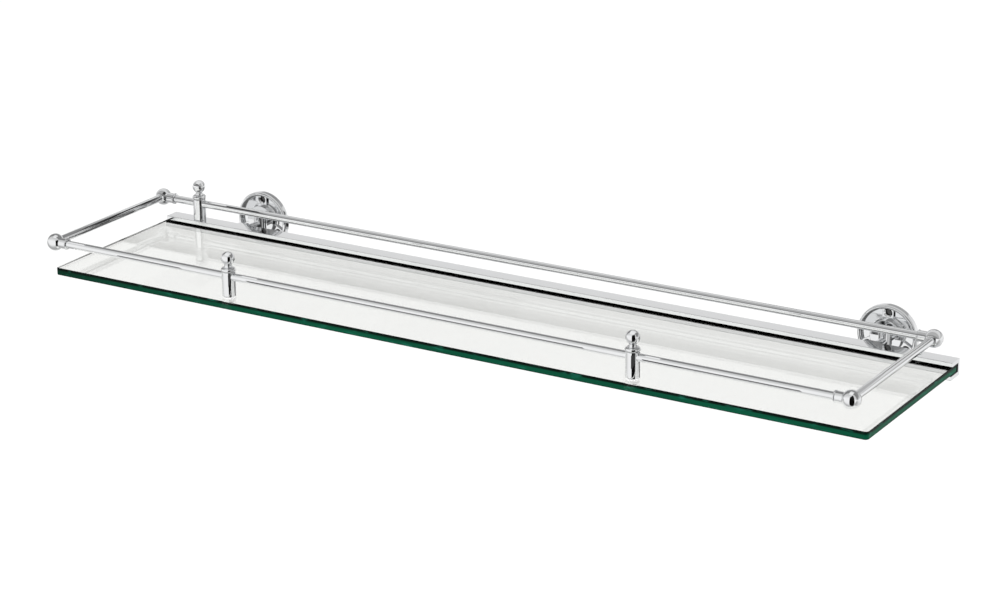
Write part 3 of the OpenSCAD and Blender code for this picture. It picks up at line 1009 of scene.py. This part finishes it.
def flag(name, outline, thickness, place, turn, dark, light, streaks=LONG_STREAKS):
    """A studio flag: a flat panel with streaks between two levels, seen only in polished surfaces."""
    material, shader = new_finish(name)
    bands = shader.mottle(1.0, 3.0, shader.stretched(*streaks)).rising(0.42, 0.62)
    glow = shader.add("ShaderNodeEmission", {}, {"Color": shader.blend(bands, grey(dark), grey(light))})
    clear = shader.add("ShaderNodeBsdfTransparent")
    after_polish = shader.add("ShaderNodeLightPath", output="Glossy Depth") > 0.5
    shader.surface(shader.add("ShaderNodeMixShader", {}, {0: after_polish, 1: clear, 2: glow}))
    panel = solid(name, moved(drawn(outline, thickness), place, turn))
    panel.data.materials.append(material)
    panel.visible_camera = False
    panel.visible_diffuse = False
    panel.visible_shadow = False


def box_outline(x0, y0, x1, y1):
    return [(x0, y0), (x1, y0), (x1, y1), (x0, y1)]


def level_flag(name, corners, z, dark, light):
    """A flag that hangs level at a height."""
    flag(name, box_outline(*corners), PANEL_T, (0, 0, z), None, dark, light)


def upright_flag(name, corners, y, dark, light):
    """A flag that stands upright along the shelf, its outline in x and z."""
    flag(name, box_outline(*corners), PANEL_T, (0, y, 0), FROM_WALL, dark, light)


def flags_round_gallery():
    """Flags over, under and behind the shelf, and a tall one at the right of the front."""
    level_flag("flag_over", (-900, -180, 900, -80), 56, 0.24, 0.3)
    level_flag("flag_over_rear", (-900, -80, 900, -35), 56, 0.4, 0.48)
    level_flag("flag_over_left", (-345, -82, -292, -33), 54, 0.02, 0.06)
    level_flag("flag_beneath", (-345, -80, 345, -8), -62, 0.08, 0.16)
    upright_flag("flag_behind", (-900, 20.5, 1200, 44), 40, 0.0, 0.42)
    tall = box_outline(-385, -900, 385, 760)
    turned_in = Matrix.Rotation(radians(67), 4, "Z") @ FROM_WALL
    flag("flag_camera", tall, PANEL_T, (505, -722, 0), turned_in, 0.0, 0.01)


def flags_behind_roses():
    """One flag low behind each rose, with short streaks from black to light."""
    for side, x in zip(("left", "right"), rose_xs):
        outline = box_outline(x - 40, -80, x + 60, -28)
        flag(f"flag_rose_{side}", outline, PANEL_T, (0, 12, 0), FROM_WALL, 0.0, 0.8, SHORT_STREAKS)


def cards_over_knobs():
    """Small light cards over the finials and the front balls."""
    half_w = 9
    half_d = 12
    tops = [(x, front_y) for x in front_post_xs] + [(-rear_post_x, rear_y)]
    tops += [(left_x, front_y), (right_x, front_y)]
    for number, (x, y) in enumerate(tops):
        outline = box_outline(x - half_w, y - half_d, x + half_w, y + half_d)
        flag(f"card_{number}", outline, CARD_T, (0, 0, 29), None, 0.8, 0.95)


def flags_for_dark_bars():
    """Near black flags that the posts, balls and left rail show as dark bars."""
    upright_flag("flag_post", (-262, -110, -60, -24), 40, 0.02, 0.05)
    sweep = [
        (-340, 730), (-110, 690), (130, 550), (304, 340), (384, 62), (346, -230), (270, -400),
        (390, -400), (466, -270), (504, 62), (424, 380), (230, 650), (-70, 820), (-340, 860),
    ]
    flag("flag_left", sweep, PANEL_T, (0, 783, 0), FROM_WALL, 0.01, 0.04)
    # Low in front of the glass edge: start and end along the shelf, and darkest level
    lows = [
        (-300, -240, 0.1), (-177, -152, 0.03), (-152, 115, 0.1), (163, 194, 0.03), (194, 285, 0.1),
    ]
    for number, (start, end, dark) in enumerate(lows):
        upright_flag(f"flag_low_{number}", (start, -12, end, -2.5), -192, dark, 2 * dark)


def studio():
    """Soft white room, with long grey bands along the shelf that only polished surfaces see."""
    world = bpy.data.worlds.new("studio")
    world.use_nodes = True
    bpy.context.scene.world = world
    shader = Shader(world.node_tree)
    ray = shader.add("ShaderNodeTexCoord", output="Generated")
    _, back, up = shader.parts(ray)
    forward = 0 - back
    lift = up.maths("ARCTAN2", up, forward) * (180 / pi)
    turn = lift / 360 + 0.5
    # Brightness by the angle about the shelf's length: 0 in front, 90 overhead, 180 at the wall
    levels = [
        (-180, 0.95), (-150, 0.85), (-120, 0.65), (-100, 0.5), (-75, 0.4), (-50, 0.6), (-36, 0.85),
        (-20, 0.98), (-8, 1.0), (8, 1.0), (24, 0.98), (40, 0.85), (60, 0.68), (88, 0.66),
        (118, 0.74), (135, 0.76), (150, 0.74), (158, 0.77), (165, 0.8), (180, 0.95),
    ]
    stops = [(angle / 360 + 0.5, grey(level)) for angle, level in levels]
    bands = shader.add("ShaderNodeValToRGB", {"stops": stops}, {"Fac": turn})
    glossy = shader.add("ShaderNodeLightPath", output="Is Glossy Ray")
    through = shader.add("ShaderNodeLightPath", output="Is Transmission Ray")
    room = grey(1.12)
    seen = shader.blend(glossy * (1 - through), room, bands)
    light = shader.add("ShaderNodeBackground", {}, {"Color": seen, "Strength": 1.0})
    shader.add("ShaderNodeOutputWorld", {}, {"Surface": light})
    bpy.context.scene.view_settings.view_transform = "Standard"


def camera():
    """The camera at the photograph's viewing angle."""
    place = Vector((1079.29, -1865.19, 709.49))
    azimuth = 31.267
    elevation = 19.264
    roll = -0.395
    lens = bpy.data.cameras.new("camera")
    lens.lens = 105.909
    lens.sensor_width = 36.0
    lens.clip_end = 200.0
    stand = bpy.data.objects.new("camera", lens)
    bpy.context.scene.collection.objects.link(stand)
    aim = Matrix.Rotation(radians(azimuth), 4, "Z") @ Matrix.Rotation(radians(90 - elevation), 4, "X")
    stand.matrix_world = Matrix.Translation(place * MM) @ aim @ Matrix.Rotation(radians(roll), 4, "Z")
    bpy.context.scene.camera = stand


camera()
glass_shelf()
rear_channel()
glazing_strip()
gallery_tubes()
gallery_corners()
posts()
wall_fixings()
carried_over()
pale_floor()
hole_backs()
flags_round_gallery()
flags_behind_roses()
cards_over_knobs()
flags_for_dark_bars()
studio()
